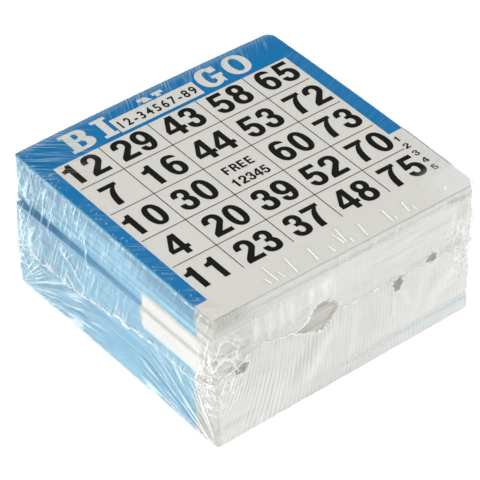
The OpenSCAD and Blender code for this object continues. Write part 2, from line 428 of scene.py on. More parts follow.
SIX = [
    [(64.5, 72), (44.5, 72)]
    + arc(36, 72, 8.5, 13, 0, 90)
    + arc(36.5, 56, 11, 29, 90, 162)
    + arc(37, 33, 30, 34.5, 108, -90)
    + arc(36, 46, 31, 47.5, 270, 180)
    + arc(36, 52, 31, 49.5, 180, 90)
    + arc(36, 72, 28.5, 29.5, 90, 0),
    ring(36.5, 33, 10, 18),
]
GLYPHS = {
    "0": [ring(36, 50, 31, 51.5), ring(36, 50, 10, 34.5)],
    "1": [[(25, 0), (46, 0), (46, 100), (31, 100)] + arc(8, 100, 22, 18, 0, -90) + [(8, 66), (25, 66)]],
    "2": [
        [(5, 0), (67, 0), (67, 18), (35, 18), (54, 42)]
        + arc(36, 70, 31, 31.5, -38, 180)
        + [(5, 65), (25.5, 65)]
        + arc(36, 70, 10.5, 14.5, 180, -40)
        + [(16, 30)]
        + arc(38, 8, 33, 26, 140, 180)
    ],
    "3": [
        arc(36, 30, 31, 31.5, 180, 398)
        + arc(35, 74, 28, 27.5, -40, 180)
        + [(7, 69), (27, 69)]
        + arc(35, 73, 9, 12, 180, -90)
        + [(29, 61), (29, 46)]
        + arc(36, 31, 10.5, 15, 90, -180)
        + [(25.5, 34), (5, 34)]
    ],
    "4": [
        [(40, 0), (60, 0), (60, 21), (70, 21), (70, 38), (60, 38), (60, 100), (38, 100)]
        + [(3, 41), (3, 21), (40, 21)],
        [(40, 38), (19, 38), (40, 74)],
    ],
    "5": [
        [(14, 100), (6, 44), (25, 44)]
        + arc(36, 32, 10.5, 17, 135, -180)
        + [(25.5, 29), (5, 29)]
        + arc(36, 32, 31, 33.5, 188, 464)
        + [(29.5, 82), (63, 82), (63, 100)]
    ],
    "6": SIX,
    "7": [
        [(5, 100), (5, 82), (44, 82)]
        + arc(78, 0, 63.5, 95, 128, 180)
        + arc(90, 0, 53, 98, 180, 122)
        + [(67, 84), (67, 100)]
    ],
    "8": [
        arc(36, 29.5, 31, 31, 44, -224) + arc(36, 74.5, 28, 27, 222, -42),
        ring(36, 74, 8.5, 11.5),
        ring(36, 30, 10.5, 15),
    ],
    "9": turned(SIX),
    "F": [
        [(6, 0), (27, 0), (27, 40), (58, 40), (58, 57), (27, 57)]
        + [(27, 82), (63, 82), (63, 100), (6, 100)]
    ],
    "R": [
        [(6, 0), (27, 0), (27, 38), (38, 38), (47, 30), (49, 0), (71, 0), (68, 32), (60, 46)]
        + arc(42, 71, 27, 29, -55, 90)
        + [(6, 100)],
        [(27, 56), (27, 83)] + arc(40, 69.5, 9, 13.5, 90, -90),
    ],
    "E": [
        [(6, 0), (65, 0), (65, 18), (27, 18), (27, 42), (61, 42)]
        + [(61, 58), (27, 58), (27, 82), (64, 82), (64, 100), (6, 100)]
    ],
    "B": [
        [(0, 0), (40, 0)]
        + arc(40, 28, 32, 28, -90, 50)
        + arc(38, 74, 28, 26, -40, 90)
        + [(0, 100), (0, 86), (8, 86), (8, 14), (0, 14)],
        [(30, 59), (30, 85)] + arc(36, 72, 8, 13, 90, -90),
        [(30, 15), (30, 44)] + arc(37, 29.5, 11, 14.5, 90, -90),
    ],
    "I": [
        [(12, 0), (60, 0), (60, 14), (48, 14), (48, 86), (60, 86)]
        + [(60, 100), (12, 100), (12, 86), (24, 86), (24, 14), (12, 14)]
    ],
    "N": [
        [(-6, 0), (30, 0), (30, 14), (20, 14), (20, 62), (54, 0), (66, 0)]
        + [(66, 86), (78, 86), (78, 100), (44, 100), (44, 86), (52, 86), (52, 44)]
        + [(22, 100), (-6, 100), (-6, 86), (6, 86), (6, 14), (-6, 14)]
    ],
    "G": [
        [(44, 52), (44, 38), (52, 38), (52, 24)]
        + arc(40, 50, 14, 35, -60, -300)
        + [(52, 68), (74, 68), (74, 96), (62, 96), (60, 92)]
        + arc(39, 50, 38, 51.5, 62, 318)
        + [(66, 8), (74, 2), (74, 38), (80, 38), (80, 52)]
    ],
    "O": [ring(36, 50, 39, 51.5), ring(36, 50, 16, 36)],
}


def curve_mesh(name, shape):
    """The mesh of a curve or of type."""
    carrier = place_object(name, shape)
    mesh = bpy.data.meshes.new_from_object(carrier.evaluated_get(bpy.context.evaluated_depsgraph_get()))
    bpy.data.objects.remove(carrier)
    return mesh


def flat_outlines(name, contours):
    """Fills flat outlines in mm, with their holes, and gives them as a mesh."""
    shape = bpy.data.curves.new(name, "CURVE")
    shape.dimensions = "2D"
    shape.fill_mode = "FRONT"
    for contour in contours:
        spline = shape.splines.new("POLY")
        spline.points.add(len(contour) - 1)
        for point, (x, y) in zip(spline.points, contour):
            point.co = (x, y, 0, 1)
        spline.use_cyclic_u = True
    return curve_mesh(name, shape)


def set_type(text, centre, baseline, height, advance=BODY_W, stretch=1.0):
    """Outlines of a word in mm, centred on a line. advance is the step from one figure to the next."""
    scale = height / BODY_H
    start = centre - (len(text) - 1) * advance * scale * stretch / 2
    contours = []
    for i, letter in enumerate(text):
        middle = start + i * advance * scale * stretch
        for contour in GLYPHS[letter]:
            xs = [middle + (x - BODY_W / 2) * scale * stretch for x, _ in contour]
            ys = [baseline + y * scale for _, y in contour]
            contours.append(list(zip(xs, ys)))
    return contours


def sides(outline):
    """The sides of a closed outline, each as its two ends."""
    return zip(outline, outline[1:] + outline[:1])


def rectangle(x0, y0, x1, y1):
    """Outline of a bar."""
    return [(x0, y0), (x1, y0), (x1, y1), (x0, y1)]


def card_edge(x, y, share=1.0):
    """A point of the top card's edge, from the same point of the lifts' square outline."""
    wide = overhang(x, y) * share
    on_side, on_end = abs(x) >= CARD_HALF_X, abs(y) >= CARD_HALF_Y
    return (x + wide.x * on_side, y + wide.y * on_end)


def worn_corner(y_side, radius, share=1.0):
    """A right corner of the top card, worn round: points from the right side to the back or the front."""
    points = []
    for i in range(7):
        angle = math.pi / 2 * i / 6
        x = CARD_HALF_X - radius * (1 - math.cos(angle))
        y = y_side * (CARD_HALF_Y - radius * (1 - math.sin(angle)))
        wide = overhang(x, y) * share
        points.append((x + wide.x * math.cos(angle), y + max(0.0, wide.y * y_side) * math.sin(angle)))
    return points


def card_outline(share=1.0):
    """The top card's outline in four parts: front, right from the border's end, back, and the left corner.
    share is how much of its overhang and of its worn corners is drawn."""
    front = [card_edge(-CARD_HALF_X, -CARD_HALF_Y, share)] + worn_corner(-1, 0.2 + 3.2 * share, share)[::-1]
    straight = [RIGHT_BORDER_END + i / 8 * (CARD_HALF_Y - 3 - RIGHT_BORDER_END) for i in range(9)]
    right = [card_edge(CARD_HALF_X, y, share) for y in straight] + worn_corner(1, 0.2 + 2.6 * share, share)
    back = [card_edge(CARD_HALF_X * (0.9 - i / 5), CARD_HALF_Y, share) for i in range(10)]
    return front, right, back, [card_edge(-CARD_HALF_X, CARD_HALF_Y, share)]


def top_lift(material):
    """The first lift of cards under the top one, drawn out by the film to the top card's edge."""
    low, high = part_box("lift_01")
    bm = bmesh.new()
    for height, share in ((low.z, 0.0), (high.z - INK_STEP * MM, 1.0)):
        ring_verts = [bm.verts.new((x * MM, y * MM, height)) for x, y in sum(card_outline(share), [])]
        for first, second in sides(ring_verts):
            bm.edges.new((first, second))
    rings = list(bm.edges)
    bmesh.ops.bridge_loops(bm, edges=rings)
    bmesh.ops.holes_fill(bm, edges=rings, sides=0)
    bmesh.ops.recalc_face_normals(bm, faces=bm.faces)
    return finish_piece("top_lift", finish_mesh("top_lift", bm), material, ["lift_01"])


def lay_print(name, contours, layer, material, replaced=()):
    """Lays flat outlines on the top card, in one of the printed layers."""
    mesh = flat_outlines(name, contours)
    height = CARD_TOP + layer * INK_STEP
    mesh.transform(Matrix.Translation((0, 0, height * MM)) @ Matrix.Scale(MM, 4))
    return finish_piece(name, mesh, material, replaced)


def lay_light_number(name, text, centre, baseline, height, width, layer, material):
    """Lays a number in thin upright figures on the top card, fitted to a height and a width."""
    shape = bpy.data.curves.new(name, "FONT")
    shape.body = text
    shape.size = 1.0
    shape.space_character = 1.35
    shape.offset = 0.025
    mesh = curve_mesh(name, shape)
    xs = [vert.co.x for vert in mesh.vertices]
    ys = [vert.co.y for vert in mesh.vertices]
    scale_x, scale_y = width / (max(xs) - min(xs)), height / (max(ys) - min(ys))
    for vert in mesh.vertices:
        vert.co = (
            (centre - width / 2 + (vert.co.x - min(xs)) * scale_x) * MM,
            (baseline + (vert.co.y - min(ys)) * scale_y) * MM,
            (CARD_TOP + layer * INK_STEP) * MM,
        )
    return finish_piece(name, mesh, material)


def column_centre(column):
    """Middle of a column of the grid."""
    return COLUMN_LINES[0] + (column - 0.5) * COLUMN_W


def print_card():
    """Prints the top card's face: border, header, grid and numbers."""
    blue = printed_surface("blue_offset_ink", "0482bf", "0074b0", 0.6, 0.6)
    black = printed_surface("black_offset_ink", "181716", "0c0b0b", 0.6, 0.6)
    bare = printed_surface("unprinted_paper", "e6e4de", "dad8d2", 0.5, 0.85)
    front, right, back, left = card_outline()
    lay_print("top_sheet", [front + right + back + left], 0, bare, ["top_card"])
    # The border of a card underneath, which has slipped to the right, shows past the end of this one's
    slipped = [card_edge(CARD_HALF_X, RIGHT_BORDER_END - i * 6) for i in range(5)]
    slipped = [(x + 0.3, y) for x, y in slipped] + [(x - 1, y) for x, y in slipped[::-1]]
    lay_print("slipped_card_border", [slipped], -0.5, blue)
    border = [
        card_edge(-CARD_HALF_X, LEFT_BORDER_END),
        (BORDER_LEFT, LEFT_BORDER_END),
        (BORDER_LEFT, HEADER_EDGE),
        (BORDER_RIGHT, HEADER_EDGE),
        (BORDER_RIGHT, RIGHT_BORDER_END),
    ]
    lay_print("border_print", [border + right + back + left], 1, blue)
    letters = []
    for letter, centre, stretch in HEADS:
        letters += set_type(letter, centre, HEAD_BASELINE, HEAD_H, stretch=stretch)
    lay_print("column_letters", letters, 2, bare)
    lay_print("panel_frame", [rectangle(*PANEL_FRAME)], 3, blue)
    lay_print("number_panel", [rectangle(*PANEL)], 4, bare)
    panel_type = {"centre": -1.75, "baseline": 39.6, "height": 4.2, "width": 30.4}
    lay_light_number("panel_number", "12-34567-89", **panel_type, layer=5, material=black)
    half = GRID_LINE_W / 2
    columns = [rectangle(x - half, GRID_FOOT, x + half, HEADER_EDGE) for x in COLUMN_LINES]
    rows = [rectangle(GRID_LEFT, y - half, GRID_RIGHT, y + half) for y in ROW_LINES]
    lay_print("grid_columns", columns, 1, black)
    lay_print("grid_rows", rows, 2, black)
    numbers = []
    for row, line in enumerate(NUMBERS):
        for column, number in enumerate(line):
            numbers += set_type(number, column_centre(column), FIRST_BASELINE - row * ROW_PITCH, NUMBER_H)
    numbers += set_type("FREE", column_centre(2), baseline=0.2, height=3.8, advance=78)
    numbers += set_type("12345", column_centre(2), baseline=-6.5, height=4.0, advance=70)
    for i, figure in enumerate("12345"):
        numbers += set_type(figure, 47.2, baseline=-20.3 - i * 4.5, height=2.6, stretch=1.25)
    lay_print("card_numbers", numbers, 1, black)


# The film: a panel of square cells whose rim is drawn out into walls, down or up to the seal

# The seal's path: shares of the half width and of the half depth, and its height
SEAL_PATH = [
    (-1.0, 1.0, 16.5),
    (-1.0, 0.4, 16.3),
    (-1.0, -0.28, 21.5),
    (-1.0, -0.8, 21.0),
    (-1.0, -1.0, 26.0),
    (-0.7, -1.0, 33.0),
    (-0.4, -1.0, 30.0),
    (1.0, -1.0, 28.0),
    (1.0, 1.0, 22.0),
]
# The tear at the seal on the front: corners as x and height
TEARS = [
    [(-21.3, 29.5), (-16.4, 31.4), (-13.6, 34.8), (-11.3, 36.3), (-8.2, 35.6), (-6.0, 34.2)]
    + [(-3.4, 32.0), (-5.6, 29.4), (-8.2, 26.8), (-10.8, 25.3), (-14.5, 26.8)],
]
# Small openings along the seal where the film folds inwards: the film stays over them, with painted shade
# that makes them look dark
POCKETS = [
    [(-44.8, 28.6), (-41.6, 30.0), (-38.6, 28.9), (-40.0, 25.7), (-43.6, 25.8)],
    [(18.3, 28.6), (19.8, 30.2), (22.0, 29.8), (22.4, 26.4), (21.2, 23.6), (19.1, 24.2)],
    [(31.2, 29.9), (33.4, 31.6), (36.2, 31.8), (37.2, 28.9), (34.1, 27.6)],
]
# Single folds are given by their two ends, their half width and their height.
# Sharp folds over the front margin of the top, as x and y
TOP_FOLDS = [
    (-27.8, -46.3, -27.3, -49.6, 0.36, 0.26),
    (-25.2, -41.4, -25.0, -49.8, 0.38, 0.38),
    (-22.8, -46.0, -22.3, -49.8, 0.36, 0.26),
    (-17.1, -42.4, -18.0, -50.2, 0.36, 0.36),
    (-8.7, -43.0, -9.5, -49.9, 0.38, 0.38),
    (-3.1, -46.3, -2.9, -50.0, 0.36, 0.28),
    (1.3, -42.4, 1.6, -48.6, 0.36, 0.36),
    (3.6, -41.3, 2.6, -48.6, 0.36, 0.36),
    (4.6, -47.4, 4.3, -50.2, 0.34, 0.24),
    (10.6, -43.8, 9.6, -50.3, 0.36, 0.34),
    (20.6, -43.5, 20.0, -49.8, 0.38, 0.36),
    (22.0, -47.8, 21.8, -50.2, 0.34, 0.24),
    (27.9, -44.2, 26.9, -49.8, 0.36, 0.32),
    (29.6, -47.4, 29.3, -50.2, 0.34, 0.22),
    (43.2, -46.8, 42.6, -48.2, 0.50, 0.26),
]
# Broad folds on the front, as x and z
FRONT_FOLDS = [
    (-35.0, 43.0, -36.0, 32.0, 1.5, 0.30),
    (-29.5, 43.5, -30.0, 33.0, 1.0, 0.28),
    (-25.5, 43.0, -25.8, 32.0, 0.8, 0.22),
    (-21.0, 43.0, -21.2, 33.0, 0.9, 0.24),
    (-14.0, 43.0, -14.6, 36.5, 1.1, 0.28),
    (-8.5, 43.5, -8.0, 36.5, 1.3, 0.30),
    (-5.0, 42.0, -4.6, 35.0, 0.8, 0.20),
    (-4.0, 25.5, -17.5, 5.0, 1.8, 0.40),
    (4.0, 27.0, 1.5, 6.0, 1.6, 0.20),
    (19.4, 23.0, 19.0, 14.0, 0.5, 0.40),
    (22.4, 24.5, 26.0, 14.0, 1.6, 0.22),
    (34.0, 27.0, 26.0, 8.0, 2.6, 0.26),
    (46.0, 24.0, 32.0, 9.0, 2.8, 0.26),
    (43.5, 44.0, 42.5, 34.0, 0.8, 0.25),
]
# Bands of painted shade on the front, as x and z: broad soft ones and thin lines
FRONT_SHADE_BANDS = [
    (-10.5, 24.5, -23.5, 7.0, 1.9, 0.50),
    (-33.0, 27.0, -44.0, 10.0, 1.6, 0.20),
    (-51.0, 7.2, -33.0, 7.0, 0.6, 1.00),
    (-51.0, 35.7, -36.0, 35.6, 0.4, 0.60),
    (-40.0, 46.7, 28.0, 46.9, 0.4, 0.40),
    (16.0, 43.6, 40.0, 43.8, 0.35, 0.60),
    (-2.0, 41.9, 24.0, 42.0, 0.35, 0.35),
    (22.0, 40.1, 48.0, 40.2, 0.35, 0.60),
    (6.0, 38.4, 34.0, 38.3, 0.35, 0.40),
    (12.0, 27.0, 9.0, 8.0, 2.0, 0.18),
    (38.0, 25.0, 26.0, 8.0, 2.0, 0.30),
    (48.5, 44.5, 46.0, 34.0, 0.6, 1.00),
    (46.5, 46.5, 44.0, 37.0, 0.5, 0.70),
    (49.0, 46.5, 40.0, 48.0, 0.6, 0.80),
    (38.0, 30.4, 50.0, 29.6, 1.1, 0.70),
    (25.0, 30.4, 31.0, 30.6, 0.6, 0.60),
]
# Broad folds on the left, as y and z
LEFT_FOLDS = [
    (40.0, 30.0, 45.0, 17.0, 0.8, 0.80),
    (43.5, 29.0, 41.5, 19.0, 0.6, 0.60),
    (48.0, 33.0, 47.0, 17.0, 0.7, 0.60),
    (50.0, 42.0, 43.5, 34.0, 0.7, 0.60),
    (43.0, 46.0, 45.5, 36.0, 0.6, 0.45),
    (34.5, 46.0, 37.0, 33.0, 0.6, 0.45),
    (31.0, 41.0, 33.5, 31.0, 0.5, 0.40),
    (14.0, 41.0, 12.5, 31.0, 0.6, 0.50),
    (13.0, 31.0, 9.5, 32.5, 0.4, 0.40),
    (27.0, 29.5, 21.0, 26.0, 0.8, 0.50),
    (21.5, 26.5, 14.5, 20.5, 0.8, 0.50),
    (24.0, 21.0, 20.0, 17.0, 0.8, 0.35),
]


# How the film lies at a place: how far it stands out in mm, how milky it is (partly painted highlight), how
# strong its loose streaks, its even comb of folds and a single crease are, how far it dims the paper with
# painted shade, the place on the streaks in their widths across and their lengths along, and how far off the
# crease's line it is, in half widths. In the functions below places are in mm, and a number before smooth,
# band or patches is a strength.
FIELDS = ("out", *LOOKS, "across", "along", "off")
Film = namedtuple("Film", FIELDS, defaults=[0.0] * 8 + [NO_CREASE])


def to_line(u, v, u0, v0, u1, v1):
    """The place on a line that is nearest to a point, as a share of the line, and how far off it is."""
    du, dv = u1 - u0, v1 - v0
    share = max(0.0, min(1.0, ((u - u0) * du + (v - v0) * dv) / (du * du + dv * dv)))
    return share, math.hypot(u - u0 - share * du, v - v0 - share * dv)


def seal_height(x, y):
    """Height of the seal at a point of the square outline, from shares of its half width and half depth."""
    best = None
    for (x0, y0, z0), (x1, y1, z1) in sides(SEAL_PATH):
        share, gap = to_line(x, y, x0, y0, x1, y1)
        if best is None or gap < best[0] - 1e-9:
            best = (gap, z0 + share * (z1 - z0))
    wobble = 1.6 * noise.noise(Vector((x * 9, y * 9, 9.0))) + noise.noise(Vector((x * 24, y * 24, 8.0)))
    return best[1] + wobble


def smooth(value, low, high):
    """0 below low, 1 above high, smooth between."""
    share = max(0.0, min(1.0, (value - low) / (high - low)))
    return share * share * (3 - 2 * share)


def band(value, middle, half_width):
    """1 in the middle of a band, falling to 0 at both sides."""
    return smooth(1.0 - abs(value - middle) / half_width, 0, 1)


def lumps_at(u, v, size, seed):
    """Soft noise, between about -1 and 1, whose lumps are about a size in mm."""
    return noise.noise(Vector((u / size, v / size, seed)))


def patches(u, v, size, seed):
    """Soft patches of about a size in mm: 0 between them, 1 inside."""
    return smooth(lumps_at(u, v, size, seed), -0.25, 0.35)


def web(u, v, seed, width):
    """A net of sharp folds around flat cells, with cells one unit wide."""
    near = noise.voronoi(Vector((u, v, seed)), distance_metric="DISTANCE")[0]
    return smooth(1.0 - (near[1] - near[0]) / width, 0, 1)


def folds_at(u, v, folds, fade=0.4):
    """Sum of single folds at a point. Each is a ridge along a line, fading out over a share of its length."""
    total = 0.0
    for u0, v0, u1, v1, width, height in folds:
        du, dv = u1 - u0, v1 - v0
        share = ((u - u0) * du + (v - v0) * dv) / (du * du + dv * dv)
        if share < -0.1 or share > 1.1:
            continue
        gap = (u - u0 - share * du) ** 2 + (v - v0 - share * dv) ** 2
        if gap < 9 * width * width:
            taper = smooth(share, -0.1, fade - 0.1) * smooth(1.1 - share, 0, fade)
            total += height * taper * math.exp(-gap / (width * width))
    return total


def crease_at(u, v, folds):
    """The nearest single fold: its strength at a point, and how far off its line that is, in half widths."""
    strength, off, nearest = 0.0, NO_CREASE, 1.2
    for u0, v0, u1, v1, width, _ in folds:
        du, dv = u1 - u0, v1 - v0
        length = math.hypot(du, dv)
        along = ((u - u0) * du + (v - v0) * dv) / length
        gap = ((u - u0) * dv - (v - v0) * du) / length
        if abs(gap) < nearest and -0.5 < along < length + 0.5:
            nearest = abs(gap)
            strength = smooth(along, -0.4, 0.8) * smooth(length - along, -0.4, 0.8)
            strength *= smooth(1.2 - nearest, 0, 0.5)
            off = gap / width
    return strength, off


def top_film(x, y):
    """The film over the top card: folds over the front margin, straight streaks from the back left corner
    and short ones along the other edges."""
    left, right = CARD_HALF_X + x, CARD_HALF_X - x
    front, back = CARD_HALF_Y + y, CARD_HALF_Y - y
    sharp = folds_at(x, y, TOP_FOLDS, 0.1) if front < 12 else 0.0
    crease, off = crease_at(x, y, TOP_FOLDS) if front < 12 else (0.0, NO_CREASE)
    # Painted glints along the left edge
    sparkle = smooth(5 - left, 0, 3) * smooth(lumps_at(x, y, 0.7, 30.0), 0.42, 0.6)
    reach = math.hypot(left, back)
    if reach < 30:
        streak = 0.6 * smooth(30 - reach, 0, 18) * smooth(reach, 0.5, 3)
        across, along = (0.65 * left - 0.76 * back) / 0.62, (0.76 * left + 0.65 * back) / 16
    elif back < 10:
        streak = 0.8 * smooth(10 - back, 0, 9) * smooth(reach, 30, 36)
        streak *= 0.35 + 0.65 * patches(x, 0, 8, 31.0)
        streak *= 1 - 0.5 * smooth(x, 30, 40)
        across, along = (x + 0.5 * back) / 0.62, back / 10
    elif left < right:
        streak = 0.6 * smooth(7 - left, 0, 6) * smooth(reach, 30, 36)
        streak *= 0.15 + 0.85 * patches(y, 0, 7, 32.0)
        across, along = (y + 0.9 * left) / 0.62, left / 10
    else:
        streak = 0.2 * smooth(7 - right, 0, 6) * smooth(back, 10, 14)
        across, along = (y + 0.5 * right) / 0.62, right / 10
    # Painted highlights: a soft pool of light at the front right corner and along the back edge, light over
    # the front margin that grows to the right, and the sharp folds drawn white
    shine = 1.2 * smooth(16 - right, 0, 12) * smooth(16 - front, 0, 10) + 0.25 * smooth(2.5 - back, 0, 2.5)
    margin = smooth(11 - front, 0, 5) * (0.08 + 0.2 * smooth(x, -30, 0))
    milk = min(1.0, 1.2 * sharp + 0.8 * sparkle + shine + margin)
    return Film(sharp, milk, streak, 0.0, crease, 0.0, across, along, off)


def torn(x, z):
    """A place on the front moved a little, so that an outline tried with it comes out ragged."""
    shift = [lumps_at(x, z, 1.1, seed) for seed in (72.0, 73.0)]
    return x + shift[0], z + shift[1]


def in_pocket(x, z):
    """True inside one of the small openings along the seal, which are painted dark."""
    return any(inside(pocket, *torn(x, z)) for pocket in POCKETS)


def pocket_shade(x, z):
    """How much painted shade a small opening has, which is uneven."""
    return 1.0 + 0.5 * patches(x, z, 1.4, 36.0)


def tear_distance(x, z):
    """Distance on the front to the nearest edge of a tear or a pocket."""
    nearest = 99.0
    for tear in TEARS + POCKETS:
        if abs(x - tear[0][0]) > 30:
            continue
        for start, end in sides(tear):
            nearest = min(nearest, to_line(x, z, *start, *end)[1])
    return nearest


def front_upper_film(x, z):
    """The front above the seal: upright folds over the left half, and level lines near the top edge."""
    under = CARD_TOP - z
    crest = smooth(4.4 - under, 0, 0.8)
    clear_of_edge = smooth(under, 3.5, 9)
    left_patch = smooth(x, -42, -34) * smooth(-15 - x, 0, 7) * clear_of_edge * smooth(20 - under, 0, 8)
    right_patch = smooth(x, -18, -13) * smooth(-2 - x, 0, 5) * clear_of_edge * smooth(15 - under, 0, 7)
    folded = left_patch + right_patch
    broad = folds_at(x, z, FRONT_FOLDS)
    rim = smooth(2.4 - tear_distance(x, z), 0, 2.4)
    # Painted shade: the shade bands, the top left corner and a wide patch over the left
    dim = folds_at(x, z, FRONT_SHADE_BANDS) + 0.6 * smooth(-34 - x, 0, 12) * smooth(7 - under, 0, 4)
    dim += 0.12 * smooth(-25 - x, 0, 14) * smooth(under, 3, 6)
    # The milky white is partly painted reflection of light, on the upright patches and the broad folds
    milk = 0.24 + 0.3 * smooth(under, 2.5, 5) * smooth(x, -40, 0) + 0.2 * folded
    milk += 0.7 * broad + 0.25 * rim**6
    streak = 0.06 + 0.14 * crest + 0.16 * folded
    # Painted shade over a small opening, in place of the milky white
    if in_pocket(x, z):
        milk, dim = 0.0, pocket_shade(x, z)
    comb = 0.14 * crest * smooth(x, -12, 4)
    across = x / 0.45 if crest > 0 else x / 0.7
    return Film(broad + 0.3 * rim, milk, streak, comb, dim=dim, across=across, along=z / 9)


def comb_source(x, fall):
    """Where on the seal the fold through a point of the lower front starts. Folds bend to the left corner."""
    drop = fall * (0.35 + 0.65 * fall / 26)
    source = x
    for _ in range(5):
        bend = 0.95 * math.exp(-(max(-60.0, source) + 50) / 12)
        source -= (source - drop * (0.05 + bend) - x) / (1 + drop * bend / 12)
    return source


def front_lower_film(x, z, fall):
    """The front below the seal: a fine comb of folds that leans to the left corner, and broad ones."""
    source = comb_source(x, fall)
    broad = folds_at(x, z, FRONT_FOLDS)
    rim = smooth(2.4 - tear_distance(x, z), 0, 2.4)
    hem = 0.3 * smooth(3.5 - z, 0, 2.5) * smooth(noise.noise(Vector((x / 3.5, 3.0, 16.0))), -0.3, 0.5)
    strength = 0.3 + 0.7 * patches(source, fall, 11, 12.0)
    comb = strength * (0.21 - 0.1 * smooth(x, -20, 0) - 0.06 * smooth(x, 10, 30))
    # The milky white is partly painted highlight on the broad folds
    milk = 0.57 + 0.18 * smooth(abs(x), 0, 30) * smooth(16 - z, -8, 8) + 0.7 * broad + 0.25 * rim**6
    milk -= 0.3 * band(z, 6, 2.5) * smooth(x, -15, 20)
    # Painted shade: the shade bands, a painted shadow just under the seal and along the bottom edge
    dim = folds_at(x, z, FRONT_SHADE_BANDS) + 0.15 * band(fall, 1.0, 1.0) + 0.9 * smooth(1.5 - z, 0, 1.4)
    # Painted shade over a small opening, in place of the milky white
    if in_pocket(x, z):
        milk, dim = 0.0, pocket_shade(x, z)
    out = broad + 0.3 * rim + hem
    return Film(out, milk, 0.14 * strength, comb, dim=dim, across=source / 0.6, along=fall / 14)


def left_upper_film(y, z, seal_z):
    """The left side above the seal: crumpled at the back, plainer at the front, with painted shade under the
    top edge.
    """
    under = CARD_TOP - z
    back = smooth(y, 4, 20)
    end = smooth(y, 37, 44)
    patch = patches(y, z, 6, 26.0)
    crumple = max(back * patch, end) * web(y / 3.0, z / 6, 25.0, 0.14)
    over_step = smooth(z, STEP_Z - 1.2, STEP_Z - 0.2) * smooth(STEP_Z + 3 - z, 0, 1.0)
    near_front = smooth(-22 - y, 0, 8) * smooth(24.5 - z, 0, 2)
    front_end = smooth(-41 - y, 0, 3)
    broad = folds_at(y, z, LEFT_FOLDS)
    crease, off = crease_at(y, z, LEFT_FOLDS)
    edge = smooth(2.1 - under, 0, 1.2)
    # Painted glints along the top edge
    sparkle = edge * smooth(lumps_at(y, z, 0.8, 24.0), 0.1, 0.45)
    short_edge = smooth(-15.2 - y, 0, 0.6) * smooth(y, -48, -42) * smooth(z, 24, 26) * smooth(38 - z, 0, 2)
    streak = 0.28 + 0.3 * band(y, -2, 24) + 0.5 * back
    streak = max(streak * (1 - 0.85 * over_step), 0.9 * end, 0.9 * near_front, 0.7 * edge, 0.6 * front_end)
    streak *= 1 - 0.8 * short_edge * (1 - front_end)
    crumple *= 1 - 0.7 * over_step
    milk = 0.08 * smooth(under, 5, 8) + 0.5 * broad * (1 - 0.6 * over_step) + 0.9 * sparkle + 0.55 * crumple
    milk += 0.8 * short_edge * (1 - 0.95 * band(z, STEP_Z + 0.1, 1.2))
    milk += 0.9 * band(z, seal_z, 2.4) * patches(y, 0, 4, 34.0)
    # Painted shade: under the top edge, in level lines, in the crumpled back and just above the seal
    dim = 0.5 * band(under, 1.6, 1.5) * (0.5 + 0.5 * smooth(30 - y, 0, 30))
    shade_lines = 0.9 * band(under, 2.9, 0.7) * smooth(26 - y, 0, 12)
    dim += shade_lines + 0.8 * band(under, 8.0, 0.7) * smooth(-8 - y, 0, 8)
    dim += 0.4 * band(under, 5.3, 0.7) * band(y, 40, 9) + 0.25 * back * (1 - patch) * (1 - over_step)
    dim += 0.85 * band(under, 4.5, 3.5) * smooth(-8 - y, 0, 16) * (1 - front_end)
    dim += 0.45 * smooth(4 - (z - seal_z), 0, 3.5) * patches(y, 0, 6, 35.0) * smooth(abs(y - 2), 14, 24)
    out = broad + 0.12 * sparkle + 0.3 * crumple
    across, along = (y + 0.35 * z) / 0.8, (z - 0.35 * y) / 15
    return Film(out, milk, streak, 0.0, 0.38 * crease, dim * (1 - short_edge), across, along, 1.8 * off)


def left_lower_film(y, z, fall):
    """The left side below the seal: plain in the middle, with folds that gather in both bottom corners."""
    fringe = smooth(noise.noise(Vector(((y + 0.9 * z) / 1.3, 5.0, 27.0))), -0.15, 0.35)
    hem = smooth(5 - z, 0, 4.5) * (0.3 + 0.7 * fringe)
    off_seal = 0.4 + 0.6 * smooth(fall, 0.5, 5)
    if y > 1:
        turn, reach = math.atan2(z + 3, 54 - y), math.hypot(54 - y, z + 3)
        streak = 1.1 * smooth(60 - reach, 0, 24) * off_seal * (0.4 + 0.6 * smooth(reach, 6, 20))
        across, dim = turn * 18, 0.0
    else:
        turn, reach = math.atan2(z + 2, y + 53), math.hypot(y + 53, z + 2)
        streak = 1.4 * smooth(46 - reach, 0, 16) * smooth(1.5 - turn, 0, 0.3) * off_seal
        # Painted shade on the streaks near the front bottom corner
        across, dim = turn * 26, 0.1 * streak * smooth(14 - z, 0, 8)
    along = reach / 22
    ripple = noise.noise(Vector((across / 1.6, along, 28.0)))
    crease, off = crease_at(y, z, LEFT_FOLDS)
    at_seal = 0.9 * band(fall, 0, 2.4) * patches(y, 0, 4, 34.0)
    milk = 0.08 + 0.1 * smooth(abs(y), 14, 30) + 0.75 * hem + at_seal
    out = 0.35 * streak * ripple + 0.2 * hem
    return Film(out, milk, streak, 0.0, 0.5 * crease, dim, across, along, 1.8 * off)


def plain_film(s, z, seed):
    """The two sides that face away: fine upright streaks and a few broad folds."""
    lower = smooth(24 - z, -4, 4)
    broad = smooth(1 - abs(noise.noise(Vector((z / 60, s / 12, seed)))) / 0.3, 0, 1)
    patch = patches(s, z, 10, seed + 1)
    milk = 0.1 + 0.2 * broad * lower
    return Film(0.3 * broad, milk, 0.25 + 0.4 * patch, across=(s - 0.3 * z) / 0.8, along=z / 9)


